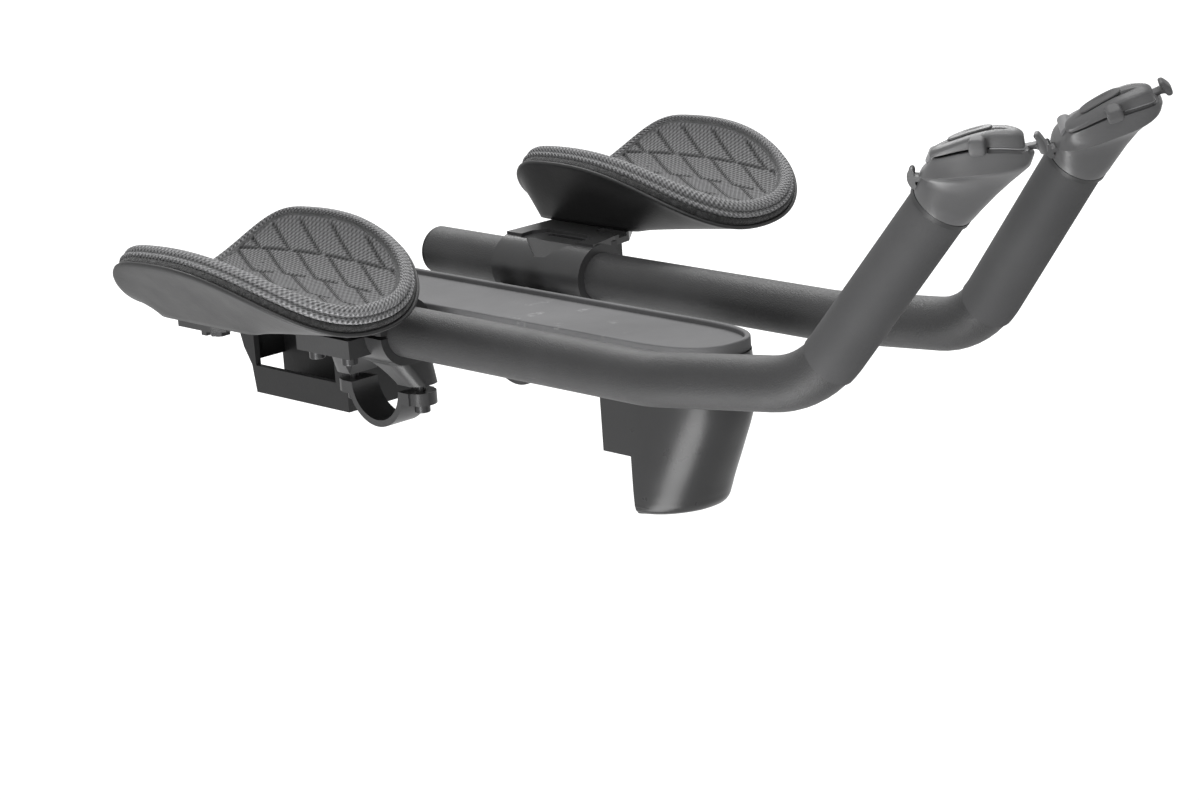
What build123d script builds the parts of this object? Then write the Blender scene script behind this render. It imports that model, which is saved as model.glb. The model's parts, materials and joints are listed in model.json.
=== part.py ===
import os
from build123d import *
from math import cos, sin, radians, degrees, pi, acos, asin, atan2

os.makedirs("parts", exist_ok=True)

# Axes: X to the rider's right, Y forward, Z up.
# Origin: on the axis of the base bar, in the middle of the bike. All sizes in mm.

# base bar clamp
BAR_R = 15.9
RELIEF = 0.6
CLAMP_X = 41.8
CLAMP_W = 15.0
CLAMP_WALL = 3.5
GAP_TOP = 2.6
GAP_LOW = -0.8
EAR_Y = 22.8
EAR_R = 6.8
CAP_EAR_T = 6.4
BOSS_TOP = 21.0

# extension tube
TUBE_R = 11.1
TUBE_WALL = 2.0
EXT_X = 57.7
EXT_Z = 31.0
EXT_REAR = -67.5
BEND1_Y = 180.6
BEND1_R = 80.0
BEND1_PITCH = 5.4
BEND1_IN = 4.6
MID_LEN = 59.0
BEND2_R = 47.9
TIP_PITCH = 50.6
TIP_IN = 8.8
TIP_LEN = 76.4
LEFT_SLIDE = -6.8
LEFT_ROLL = 2.3

# grip and plug
GRIP_T = 0.65
GRIP_BACK = 6.5
PLUG_T = 2.0
PLUG_LEN = 12.0
FIT = 0.05

# bracket
SLEEVE_R = 14.8
SLEEVE_Y0 = -22.0
SLEEVE_Y1 = 36.0
WING_TOP = 46.5
WING_T = 4.4
WING_X = 133.5
SLIT = 1.5
PINCH_X = 76.0
PINCH_Y = (-4.0, 18.0)

# bolts
M4_R = 2.0
M4_HEAD_R = 3.5
M4_HEAD_H = 4.0
M4_CLEAR_R = 2.2
M5_R = 2.5
M5_HEAD_R = 4.4
M5_CLEAR_R = 2.75

# armrest
PAD_X = 115.0
PAD_Y = -8.0
PAD_HALF = 44.6
PAD_TAPER = 0.033
PAD_YAW = 1.4
PAD_FRONT = 92.0
PAD_BACK = 35.2
PAD_POWER = 2.7
RIM_OUT = 1.4
PAD_ABOVE = 4.6
PAD_BELOW = 4.2
LAYER_T = 3.8
FLANGE_T = 2.0
CUP_BASE_X = (81.6, 139.0)
CUP_BASE_Y = (-33.0, 36.0)
CUP_TOP_X = (64.0, 170.0)
CUP_TOP_Y = (-56.0, 108.0)
CUP_TOP_Z = 82.0
CUP_WALL = 2.6
CUP_BOLTS = ((100.0, 4.0), (123.0, -9.0))

# centre unit
LID_HALF = 22.2
LID_BACK = -132.0
LID_FRONT = 177.0
LID_TOP = 32.4
LID_FLOOR = 30.2
LID_RIM_W = 2.4
LID_SKIRT = 27.0
NOSE_Y = 133.0
NOSE_LEVELS = ((-43.0, 148.5), (-40.0, 155.5), (-31.0, 162.5), (3.0, 178.0), (27.0, 177.0))
FLANGE_Y = 116.0
FLANGE_Z = -18.2
SHELL = 2.2
BAY_FRONT = -54.0
BAY_BOTTOM = -27.0
WINDOW_BACK = -121.0
WINDOW_LOW = -14.0
LUG_R = 5.0
LUG_Y = 9.0
LUG_Z = 22.6

# controller, in the frame of the tip: X side, Y forward, Z along the grip.
# Its sections fan out round a line behind the collar: angle, rear reach, front reach, half width.
TWIST_RIGHT = -33.4
TWIST_LEFT = -60.4
FAN_Y = -35.5
FAN_Z = 2.0
POD_SECTIONS = (
    (0.0, 23.3, 47.7, 12.2),
    (12.0, 22.9, 51.0, 12.5),
    (24.0, 23.4, 57.5, 12.7),
    (32.0, 25.0, 64.2, 12.3),
    (37.0, 26.4, 64.4, 11.2),
    (39.4, 27.4, 63.0, 9.8),
)
DECK_ANGLE = 39.4
DECK_MID = 45.0
CAP_HALF = 17.2
CAP_SIDE = 9.0
CAP_LOW = 1.2
CAP_TOP = 5.8
NECK_IN = 1.8
PLATE_LEN = 21.0
PLATE_W = 9.0
PLATE_T = 0.9
PLATE_MID = 41.0
BUTTON_LEN = 6.0
BUTTON_H = 5.8
BUTTON_MID = (46.3, 3.4)
BUTTON_OUT = 12.2
BUTTON_DEEP = 5.2
BUTTON_TRAVEL = 1.0
COLLAR_R = 12.5
COLLAR_T = 2.0
SPIGOT_LEN = 24.0
RUN_GAP = 0.25
FRONT_LEVER = (67.2, 0.2)
FRONT_PIVOT = (59.5, -1.6)
REAR_LEVER = (18.5, -10.2)
REAR_PIVOT = (26.5, -13.0)
BLADE_W = 8.0
BLADE_H = 7.4
BLADE_T = 2.0
STEM_W = 5.0
STEM_T = 1.8
STEM_SLOT = 3.2
SLOT_LEN = 17.0
PIVOT_R = 0.8
PIVOT_GAP = 0.07
ROLLER_MID = (27.2, -3.4)
ROLLER_R = 2.6
ROLLER_W = 7.0


def direction(pitch, inward):
    p = radians(pitch)
    h = radians(inward)
    return Vector(-sin(h) * cos(p), cos(h) * cos(p), sin(p))


def arc_points(start, d0, d1, radius):
    angle = acos(max(-1.0, min(1.0, d0.dot(d1))))
    side = (d1 - d0 * d0.dot(d1)).normalized()

    def at(a):
        return start + d0 * (radius * sin(a)) + side * (radius * (1 - cos(a)))

    return at, angle


D0 = Vector(0, 1, 0)
D1 = direction(BEND1_PITCH, BEND1_IN)
D2 = direction(TIP_PITCH, TIP_IN)
P0 = Vector(0, EXT_REAR, 0)
P1 = Vector(0, BEND1_Y, 0)
AT1, ANG1 = arc_points(P1, D0, D1, BEND1_R)
P2 = AT1(ANG1)
P3 = P2 + D1 * MID_LEN
AT2, ANG2 = arc_points(P3, D1, D2, BEND2_R)
P4 = AT2(ANG2)
P5 = P4 + D2 * TIP_LEN


def tube_path():
    edges = [
        Line(P0, P1),
        ThreePointArc(P1, AT1(ANG1 / 2), P2),
        Line(P2, P3),
        ThreePointArc(P3, AT2(ANG2 / 2), P4),
        Line(P4, P5),
    ]
    return Wire(edges)


def grip_path():
    back = GRIP_BACK / BEND2_R
    start = ANG2 - back
    edges = [
        ThreePointArc(AT2(start), AT2(ANG2 - back / 2), P4),
        Line(P4, P5 - D2 * 0.4),
    ]
    return Wire(edges), AT2(start), (AT2(start + 0.001) - AT2(start)).normalized()


def ring(radius, inner, plane):
    face = plane * Circle(radius)
    if inner > 0:
        face = face - plane * Circle(inner)
    return face


def mirror_x(shape):
    return mirror(shape, about=Plane.YZ)


def place_extension(shape, side):
    # the right one sits as drawn; the left one is mirrored, slid and rolled in its sleeve
    if side == "right":
        return Pos(EXT_X, 0, EXT_Z) * shape
    return Pos(-EXT_X, LEFT_SLIDE, EXT_Z) * (Rot(0, -LEFT_ROLL, 0) * mirror_x(shape))


def place_side(shape, side):
    return shape if side == "right" else mirror_x(shape)


def save(shape, name):
    export_step(shape, "parts/" + name + ".step")


def cyl_x(radius, x0, x1, y, z):
    return Pos((x0 + x1) / 2, y, z) * (Rot(0, 90, 0) * Cylinder(radius, abs(x1 - x0)))


def cyl_y(radius, y0, y1, x, z):
    return Pos(x, (y0 + y1) / 2, z) * (Rot(90, 0, 0) * Cylinder(radius, abs(y1 - y0)))


def cyl_z(radius, z0, z1, x, y):
    return Pos(x, y, (z0 + z1) / 2) * Cylinder(radius, abs(z1 - z0))


def block(x0, x1, y0, y1, z0, z1):
    return Pos((x0 + x1) / 2, (y0 + y1) / 2, (z0 + z1) / 2) * Box(x1 - x0, y1 - y0, z1 - z0)


def prism(points, z0, z1):
    face = make_face(Polyline(*points, close=True))
    return Pos(0, 0, z0) * extrude(face, z1 - z0)


def soften(shape, edges, radius):
    # a fillet that the kernel refuses is left off
    try:
        return fillet(edges, radius)
    except Exception:
        print("fillet skipped", radius)
        return shape


# extension tube with its plug and grip
def extension():
    start = Plane(P0, z_dir=D0)
    outer = sweep(ring(TUBE_R, 0, start), path=tube_path())
    inner = sweep(ring(TUBE_R - TUBE_WALL, 0, start), path=tube_path())
    return outer - inner


def end_plug():
    bore = TUBE_R - TUBE_WALL - FIT
    head = cyl_y(TUBE_R, EXT_REAR - PLUG_T, EXT_REAR, 0, 0)
    head = soften(head, head.edges().filter_by(GeomType.CIRCLE).sort_by(Axis.Y)[:1], 1.2)
    stub = cyl_y(bore, EXT_REAR, EXT_REAR + PLUG_LEN, 0, 0)
    hollow = cyl_y(bore - 2.0, EXT_REAR + 2, EXT_REAR + PLUG_LEN + 1, 0, 0)
    return head + stub - hollow


def grip():
    path, at, along = grip_path()
    plane = Plane(at, z_dir=along)
    outer = sweep(ring(TUBE_R + GRIP_T, 0, plane), path=path)
    inner = sweep(ring(TUBE_R + 0.02, 0, plane), path=path)
    return outer - inner


# bracket, right side
def rounded_at(x0, x1, y0, y1, z, radius):
    face = RectangleRounded(x1 - x0, y1 - y0, radius)
    return Pos((x0 + x1) / 2, (y0 + y1) / 2, z) * face


def clamp_boss(sign):
    # runs from the bolt ear up and outboard into the sleeve
    x0 = CLAMP_X - CLAMP_W / 2
    x1 = CLAMP_X + CLAMP_W / 2
    reach = EAR_Y + EAR_R
    ends = (4.0, reach) if sign > 0 else (-reach, -4.0)
    low = rounded_at(x0, x1, ends[0], ends[1], GAP_TOP, EAR_R - 0.3)
    ends = (-8.0, reach - 1.5) if sign > 0 else (-reach + 6, 8.0)
    mid = rounded_at(x0 + 1, x1 + 7.5, ends[0], ends[1], 13.5, EAR_R - 0.3)
    high = rounded_at(x0 + 3, EXT_X + 8, ends[0], ends[1], BOSS_TOP, EAR_R - 0.3)
    return loft([low, mid, high], ruled=True)


def bracket():
    x0 = CLAMP_X - CLAMP_W / 2
    x1 = CLAMP_X + CLAMP_W / 2
    ring_r = BAR_R + CLAMP_WALL
    body = cyl_y(SLEEVE_R, SLEEVE_Y0, SLEEVE_Y1, EXT_X, EXT_Z)
    saddle = cyl_x(ring_r, x0, x1, 0, 0)
    body = body + saddle + clamp_boss(1) + clamp_boss(-1)
    # wing that carries the armrest
    wing = prism(
        [
            (EXT_X - 4, SLEEVE_Y0), (84, SLEEVE_Y0), (92, SLEEVE_Y0 - 5), (WING_X - 3, SLEEVE_Y0 - 5),
            (WING_X, SLEEVE_Y0 - 2), (WING_X, -1), (WING_X - 4, 4), (104, 10), (82, 29.5), (72, 31),
            (EXT_X - 4, SLEEVE_Y1),
        ],
        WING_TOP - WING_T, WING_TOP,
    )
    shoulder = block(EXT_X, EXT_X + 14.3, SLEEVE_Y0 + 1, SLEEVE_Y1 - 4, EXT_Z, WING_TOP - 2)
    rib = prism([(EXT_X + 12, SLEEVE_Y0 + 1), (124, SLEEVE_Y0 + 1), (124, SLEEVE_Y0 + 4.5),
                 (EXT_X + 12, SLEEVE_Y0 + 4.5)], WING_TOP - 10, WING_TOP - WING_T + 0.5)
    lug_top = block(EXT_X + 8, PINCH_X + 5.5, -11, 25, EXT_Z, WING_TOP - WING_T + 0.5)
    lug_low = block(EXT_X + 6, PINCH_X + 5.5, -11, 25, EXT_Z - 9, EXT_Z)
    body = body + wing + shoulder + rib + lug_top + lug_low
    # lugs that carry the centre unit
    for y in (-LUG_Y, LUG_Y):
        body = body + cyl_x(LUG_R, LID_HALF, x0 + 2, y, LUG_Z)
    # cuts
    body = body - block(x0 - 20, EXT_X + 30, -40, 40, -40, GAP_TOP)
    body = body - cyl_x(BAR_R, 0, x1, 0, 0)
    body = body - cyl_x(BAR_R + RELIEF, x1, 150, 0, 0)
    body = body - cyl_y(TUBE_R + FIT, -60, 60, EXT_X, EXT_Z)
    body = body - block(EXT_X, PINCH_X + 8, -60, 60, EXT_Z - SLIT / 2, EXT_Z + SLIT / 2)
    for y in (-EAR_Y, EAR_Y):
        body = body - cyl_z(M4_R, -1, 13, CLAMP_X, y)
    for y in PINCH_Y:
        body = body - cyl_z(M4_R, EXT_Z, EXT_Z + 9, PINCH_X, y)
        body = body - cyl_z(M4_CLEAR_R, EXT_Z - 20, EXT_Z, PINCH_X, y)
    for y in (-LUG_Y, LUG_Y):
        body = body - cyl_x(1.5, LID_HALF - 1, LID_HALF + 9, y, LUG_Z)
    # pocket in the inboard shoulder: top recess, slot and a V-shaped facet
    body = body - prism(
        [(50, -11.5), (61, -12.5), (66.5, -9), (67, 18), (64, 24.5), (50, 24.5)],
        WING_TOP - 1.6, WING_TOP + 1,
    )
    slot = Pos(64, 9, 0) * extrude(Rot(0, 0, 90) * SlotOverall(27, 3.2), 5)
    body = body - Pos(0, 0, WING_TOP - 5.2) * slot
    facet = Plane((54.5, 0, 45.3), x_dir=(0, 1, 0), z_dir=(-0.603, 0, 0.798))
    vee = facet * make_face(Polyline((-9, 0.5), (23.5, 0.5), (11.5, 10.5), (5, 11), close=True))
    vee_low = facet * make_face(Polyline((-9, 0.5), (23.5, 0.5), (23.5, -3), (-9, -3), close=True))
    body = body - extrude(vee, 6) - extrude(vee_low, 6)
    # open slot for the armrest bolt, and the two bolt slots
    track = Pos(77.5, 27, 0) * extrude(Rot(0, 0, 90) * SlotOverall(26, 5.6), 3)
    body = body - Pos(0, 0, WING_TOP - 1.6) * track
    for x, y in CUP_BOLTS:
        body = body - Pos(x, y, WING_TOP - 10) * extrude(SlotOverall(14, 2 * M5_CLEAR_R), 12)
    return body


def clamp_cap():
    x0 = CLAMP_X - CLAMP_W / 2
    x1 = CLAMP_X + CLAMP_W / 2
    ring_r = BAR_R + CLAMP_WALL - 0.5
    cap = cyl_x(ring_r, x0, x1, 0, 0)
    for y in (-EAR_Y, EAR_Y):
        cap = cap + cyl_z(EAR_R, -CAP_EAR_T, 0, CLAMP_X, y)
    cap = cap + block(x0, x1, -EAR_Y, EAR_Y, -CAP_EAR_T, 0)
    cap = cap - block(0, 90, -60, 60, GAP_LOW, 60)
    cap = cap - cyl_x(BAR_R, 0, 90, 0, 0)
    for y in (-EAR_Y, EAR_Y):
        cap = cap - cyl_z(M4_CLEAR_R, -40, 1, CLAMP_X, y)
        cap = cap - cyl_z(M4_HEAD_R + 0.4, -40, -CAP_EAR_T, CLAMP_X, y)
    return cap


def socket_bolt(radius, head_r, head_h, length, x, y, z, up):
    # z is the seat of the head; up is +1 when the shank points up
    shank = cyl_z(radius, z - 0.3 * up, z + length * up, x, y)
    head = cyl_z(head_r, z - head_h * up, z, x, y)
    head = soften(head, head.edges().filter_by(GeomType.CIRCLE), 0.4)
    key = Pos(x, y, z - head_h * up) * extrude(RegularPolygon(head_r * 0.5, 6), head_h * 0.55 * up)
    return head + shank - key


def clamp_bolts():
    seats = [-EAR_Y, EAR_Y]
    return [
        socket_bolt(M4_R, M4_HEAD_R, M4_HEAD_H, CAP_EAR_T + 12, CLAMP_X, y, -CAP_EAR_T, 1)
        for y in seats
    ]


def pinch_bolts():
    return [
        socket_bolt(M4_R, M4_HEAD_R, M4_HEAD_H, 16, PINCH_X, y, EXT_Z - 9, 1)
        for y in PINCH_Y
    ]


# armrest: saddle-shaped layers cut to one outline
SECTIONS = ((-66.0, 50.4, 1.056), (20.0, 59.2, 0.844), (104.0, 53.6, 0.635))
SECTION_U = 56.0


def saddle_arc(y, centre, bend, lift):
    # concentric arcs, so that each layer has an even thickness
    side = bend * SECTION_U ** 2 / 100 + 1.436 * SECTION_U ** 4 / 1e6
    radius = (SECTION_U ** 2 + side ** 2) / (2 * side)
    r = radius - lift
    a = asin(SECTION_U / radius)
    mid_z = centre + radius
    ends = [Vector(PAD_X + sign * r * sin(a), y, mid_z - r * cos(a)) for sign in (-1, 1)]
    return ends[0], Vector(PAD_X, y, mid_z - r), ends[1]


def saddle_slab(low, high):
    faces = []
    for y, centre, bend in SECTIONS:
        top = saddle_arc(y, centre, bend, high)
        bottom = saddle_arc(y, centre, bend, low)
        edges = [
            ThreePointArc(*top),
            Line(top[2], bottom[2]),
            ThreePointArc(*bottom),
            Line(bottom[0], top[0]),
        ]
        faces.append(make_face(Wire(edges)))
    return loft(faces)


def superellipse(a, front, back, power, count=20):
    points = []
    for i in range(count):
        t = 2 * pi * i / count
        c = cos(t)
        s = sin(t)
        x = a * (1 if c > 0 else -1) * abs(c) ** (2 / power)
        y = (front if s > 0 else back) * (1 if s > 0 else -1) * abs(s) ** (2 / power)
        points.append((x, y))
    return points


def outline(grow):
    points = superellipse(PAD_HALF + grow, PAD_FRONT + grow, PAD_BACK + grow, PAD_POWER)
    tapered = [(x * (1 + PAD_TAPER * y / 50), y) for x, y in points]
    return Rot(0, 0, PAD_YAW) * make_face(Spline(*tapered, periodic=True))


def column(grow):
    return Pos(PAD_X, PAD_Y, 0) * extrude(outline(grow), 140)


def layer(low, high, grow):
    return saddle_slab(low, high) & column(grow)


PAD_LOW = -PAD_BELOW
LAYER_LOW = PAD_LOW - LAYER_T
CUP_LOW = LAYER_LOW - FLANGE_T


def armrest_pad():
    pad = layer(PAD_LOW, PAD_ABOVE, RIM_OUT)
    edges = pad.edges().filter_by(lambda e: e.length > 150)
    return soften(pad, edges, 2.4)


def armrest_layer():
    return layer(LAYER_LOW, PAD_LOW - 0.01, RIM_OUT - 1.2)


def rectangle_at(xs, ys, z, inset):
    x0 = xs[0] + inset
    x1 = xs[1] - inset
    y0 = ys[0] + inset
    y1 = ys[1] - inset
    return make_face(Polyline((x0, y0, z), (x1, y0, z), (x1, y1, z), (x0, y1, z), close=True))


def cup_tub(inset, drop):
    low = rectangle_at(CUP_BASE_X, CUP_BASE_Y, WING_TOP - drop, inset)
    high = rectangle_at(CUP_TOP_X, CUP_TOP_Y, CUP_TOP_Z, inset)
    return loft([low, high], ruled=True)


def armrest_cup():
    flange = layer(CUP_LOW, LAYER_LOW, RIM_OUT - 0.4)
    under = saddle_slab(-28, CUP_LOW + 0.3)
    body = cup_tub(0, 0) & under & column(RIM_OUT - 2.2)
    hollow = cup_tub(CUP_WALL, 1) & saddle_slab(-28, CUP_LOW)
    hollow = hollow - block(PAD_X - 24, PAD_X + 17, -22, 12, 0, 120)
    cup = flange + body - hollow
    cup = cup - block(40, WING_X + 1, SLEEVE_Y0 - 6, 60, 20, WING_TOP)
    for x, y in CUP_BOLTS:
        cup = cup - cyl_z(M5_CLEAR_R, 30, 80, x, y)
        cup = cup - cyl_z(M5_HEAD_R + 0.4, WING_TOP + 1.6, 90, x, y)
    return cup


def cup_bolts():
    bolts = []
    for x, y in CUP_BOLTS:
        head = cyl_z(M5_HEAD_R, WING_TOP + 1.6, WING_TOP + 3.4, x, y)
        shank = cyl_z(M5_R, WING_TOP - WING_T - 4.5, WING_TOP + 1.7, x, y)
        key = Pos(x, y, WING_TOP + 2.4) * extrude(RegularPolygon(1.7, 6), 3)
        bolts.append(head + shank - key)
    return bolts


def cup_nuts():
    nuts = []
    for x, y in CUP_BOLTS:
        z = WING_TOP - WING_T - 4.0
        nut = Pos(x, y, z) * extrude(RegularPolygon(4.6, 6), 4.0)
        nuts.append(nut - cyl_z(M5_R, z - 1, z + 5, x, y))
    return nuts


# centre unit
def lid_outline(grow, front):
    half = LID_HALF + grow
    mid = 133.0
    points = []
    for i in range(13):
        t = pi / 2 * i / 12
        x = half * cos(t) ** (2 / 2.7)
        y = mid + (front + grow - mid) * sin(t) ** (2 / 2.7)
        points.append((x, y))
    mirrored = [(-x, y) for x, y in reversed(points[:-1])]
    curve = Spline(*(points + mirrored), tangents=((0, 1), (0, -1)))
    back = LID_BACK - grow
    corner = 6.0 + grow
    edges = [
        curve,
        Line((-half, mid), (-half, back + corner)),
        ThreePointArc((-half, back + corner), (-half + corner * 0.293, back + corner * 0.293),
                      (-half + corner, back)),
        Line((-half + corner, back), (half - corner, back)),
        ThreePointArc((half - corner, back), (half - corner * 0.293, back + corner * 0.293),
                      (half, back + corner)),
        Line((half, back + corner), (half, mid)),
    ]
    return make_face(Wire(edges))


def tray_lid():
    lid = Pos(0, 0, LID_SKIRT) * extrude(lid_outline(0, LID_FRONT), LID_TOP - LID_SKIRT)
    lid = lid - Pos(0, 0, LID_FLOOR) * extrude(lid_outline(-LID_RIM_W, LID_FRONT), 10)
    lid = lid - Pos(0, 0, LID_SKIRT - 1) * extrude(lid_outline(-1.6, LID_FRONT), LID_FLOOR - LID_SKIRT - 1.2)
    tops = lid.edges().filter_by(lambda e: e.center().Z > LID_TOP - 0.01)
    return soften(lid, tops, 0.7)


def spine():
    # channel under the lid
    top = LID_FLOOR - 2.2
    outer = LID_HALF - 0.2
    inset = LID_HALF - 1.6 - 0.1
    channel = block(-outer, outer, LID_BACK + 0.4, NOSE_Y - 17.2, 18.6, LID_SKIRT)
    plate = block(-inset, inset, LID_BACK + 8, NOSE_Y - 17.2, 20, top)
    body = channel + plate
    body = body - block(-outer + SHELL, outer - SHELL, BAY_FRONT, 118, 0, top - SHELL)
    # rear compartment with open sides and rails on the inner walls
    profile = [
        (LID_BACK + 0.4, LID_SKIRT), (LID_BACK + 0.4, 2), (LID_BACK + 3, -6),
        (LID_BACK + 8, -14), (LID_BACK + 10, BAY_BOTTOM), (BAY_FRONT, BAY_BOTTOM),
        (BAY_FRONT, LID_SKIRT),
    ]
    face = Plane.YZ * make_face(Polyline(*profile, close=True))
    bay = Pos(-outer, 0, 0) * extrude(face, 2 * outer)
    bay = bay - block(-outer + 3, outer - 3, WINDOW_BACK - 4, BAY_FRONT - 3, BAY_BOTTOM + 3, top - SHELL)
    for sign in (-1, 1):
        window = block(0, 10, WINDOW_BACK, BAY_FRONT - 8, WINDOW_LOW, 17)
        bay = bay - Pos(18.5, 0, 0) * window if sign > 0 else bay - Pos(-28.5, 0, 0) * window
    for z in (10, 0):
        bay = bay + block(-3, 3, LID_BACK + 4, BAY_FRONT - 1, z - 1, z + 1)
    bay = bay + block(-1.2, 1.2, LID_BACK + 5, BAY_FRONT - 1, BAY_BOTTOM + 1, top - 1)
    body = body + bay
    for y in (-LUG_Y, LUG_Y):
        body = body - cyl_x(1.7, -40, 40, y, LUG_Z)
    for x in (-14, 14):
        for y in (122, 150):
            body = body - cyl_z(1.7, 0, 40, x, y)
    return body


def nose_section(half, front, power, z):
    points = []
    for i in range(17):
        t = pi * i / 16
        c = cos(t)
        x = half * (1 if c > 0 else -1) * abs(c) ** (2 / power)
        points.append((x, NOSE_Y + front * abs(sin(t)) ** (2 / power), z))
    curve = Spline(*points, tangents=((0, 1, 0), (0, -1, 0)))
    return make_face(Wire([curve, Line((-half, NOSE_Y, z), (half, NOSE_Y, z))]))


def nose_solid(inset):
    faces = []
    for i, (z, front) in enumerate(NOSE_LEVELS):
        half = LID_HALF - 0.2 - inset - (1.6 if i == 0 else 0)
        power = 2.1 + 0.4 * i / (len(NOSE_LEVELS) - 1)
        level = z + inset if i == 0 else z
        faces.append(nose_section(half, front - NOSE_Y - inset, power, level))
    return loft(faces, ruled=True)


def nose():
    top = LID_SKIRT
    outer = LID_HALF - 0.2
    shell = nose_solid(0) + block(-outer, outer, FLANGE_Y, NOSE_Y, FLANGE_Z, top)
    shell = shell - nose_solid(SHELL)
    shell = shell - block(-outer + SHELL, outer - SHELL, FLANGE_Y - 1, NOSE_Y + 0.5, -60, top)
    # ledge that meets the underside of the spine
    ledge = block(-outer + 1, outer - 1, FLANGE_Y, FLANGE_Y + 10, top - 5, top)
    return shell + ledge


def m3_x(y, z, sign):
    head = cyl_x(2.8, sign * (LID_HALF - 0.2 - SHELL - 2.0), sign * (LID_HALF - 0.2 - SHELL), y, z)
    shank = cyl_x(1.5, sign * (LID_HALF - 0.2 - SHELL - 0.2), sign * (LID_HALF + 7), y, z)
    return head + shank


def spine_screws():
    return [m3_x(y, LUG_Z, s) for y in (-LUG_Y, LUG_Y) for s in (-1, 1)]


# controller
def tip_frame(side):
    tip = P5
    along = D2
    if side == "right":
        origin = Vector(EXT_X, 0, EXT_Z) + tip
        twist = radians(TWIST_RIGHT)
    else:
        a = radians(LEFT_ROLL)

        def roll(v):
            return Vector(-v.X * cos(a) - v.Z * sin(a), v.Y, -v.X * sin(a) + v.Z * cos(a))

        origin = Vector(-EXT_X, LEFT_SLIDE, EXT_Z) + roll(tip)
        along = roll(along)
        twist = radians(TWIST_LEFT)
    ahead = Vector(0, along.Z, -along.Y).normalized()
    across = ahead.cross(along)
    x_dir = ahead * (-sin(twist)) + across * cos(twist)
    return Plane(origin=origin, x_dir=x_dir, z_dir=along)


def fan_point(reach, height=0.0, angle=DECK_ANGLE, x=0.0):
    t = radians(angle)
    y = FAN_Y + reach * cos(t) - height * sin(t)
    z = FAN_Z + reach * sin(t) + height * cos(t)
    return Vector(x, y, z)


def fan_plane(reach, height=0.0, angle=DECK_ANGLE, x=0.0):
    # local X is the side of the controller, local Y runs forward along the deck
    t = radians(angle)
    return Plane(fan_point(reach, height, angle, x), x_dir=(1, 0, 0), z_dir=(0, -sin(t), cos(t)))


def pod():
    faces = []
    for angle, rear, front, half in POD_SECTIONS:
        plane = fan_plane((rear + front) / 2, 0, angle)
        faces.append(plane * Ellipse(half, (front - rear) / 2))
    return loft(faces)


def deck_oval(shrink, z0, z1):
    plane = fan_plane(DECK_MID, z0)
    return extrude(plane * Ellipse(CAP_SIDE - shrink, CAP_HALF - shrink), z1 - z0)


def in_deck(shape, reach, height, x=0.0, tilt=0.0):
    return fan_plane(reach, height, x=x).location * (Rot(tilt, 0, 0) * shape)


def pivot(centre, radius, half):
    return in_deck(Rot(0, 90, 0) * Cylinder(radius, 2 * half), centre[0], centre[1])


def lever(blade_at, centre, tilt):
    # a curved T: blade, stem and the pin that it turns on
    blade = Box(BLADE_W, BLADE_T, BLADE_H)
    blade = soften(blade, blade.edges().filter_by(Axis.Y), 1.6)
    blade = in_deck(blade, blade_at[0], blade_at[1], 0, tilt)
    middle = (blade_at[0] + centre[0]) / 2
    height = (blade_at[1] + centre[1]) / 2
    run = blade_at[0] - centre[0]
    slope = degrees(atan2(blade_at[1] - centre[1], run)) if run > 0 else 0.0
    stem = in_deck(Box(STEM_W, abs(run), STEM_T), middle, height, 0, slope)
    eye = in_deck(Rot(0, 90, 0) * Cylinder(1.5, STEM_W), centre[0], centre[1])
    return blade + stem + eye + pivot(centre, PIVOT_R, STEM_W / 2 + 1.6)


def lever_slot(blade_at, centre):
    sign = 1 if blade_at[0] > centre[0] else -1
    height = (blade_at[1] + centre[1]) / 2
    wide = STEM_W + 2 * RUN_GAP
    slot = in_deck(Box(wide, SLOT_LEN, STEM_SLOT), centre[0] + (SLOT_LEN / 2 - 1) * sign, height)
    eye = in_deck(Rot(0, 90, 0) * Cylinder(1.5 + RUN_GAP, wide), centre[0], centre[1])
    return slot + eye + pivot(centre, PIVOT_R + PIVOT_GAP, STEM_W / 2 + 1.8)


def roller_parts(grow, pin_grow):
    wheel = Rot(0, 90, 0) * Cylinder(ROLLER_R + grow, ROLLER_W + 2 * grow)
    half = ROLLER_W / 2 + 1.4 + pin_grow
    pin = Rot(0, 90, 0) * Cylinder(PIVOT_R + pin_grow, 2 * half)
    return in_deck(wheel + pin, ROLLER_MID[0], ROLLER_MID[1])


def button_box(grow, out):
    length = BUTTON_DEEP + out
    shape = Box(length, BUTTON_LEN + 2 * grow, BUTTON_H + 2 * grow)
    shape = soften(shape, shape.edges().filter_by(Axis.X), 1.6 + grow)
    return shape, BUTTON_OUT - BUTTON_DEEP + length / 2


def controller_body():
    neck = deck_oval(NECK_IN, -1.0, CAP_LOW)
    spigot = Pos(0, 0, (FAN_Z - SPIGOT_LEN) / 2) * Cylinder(
        TUBE_R - TUBE_WALL - FIT, SPIGOT_LEN + FAN_Z)
    body = pod() + neck + spigot
    shape, x = button_box(RUN_GAP, 4)
    body = body - in_deck(shape, BUTTON_MID[0], BUTTON_MID[1], x - BUTTON_TRAVEL - 0.3)
    body = body - lever_slot(FRONT_LEVER, FRONT_PIVOT) - lever_slot(REAR_LEVER, REAR_PIVOT)
    return body - roller_parts(RUN_GAP, PIVOT_GAP)


def controller_collar():
    z = COLLAR_T / 2
    return Pos(0, 0, z) * (Cylinder(COLLAR_R, COLLAR_T - 0.1) - Cylinder(TUBE_R - TUBE_WALL - FIT, 5))


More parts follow.
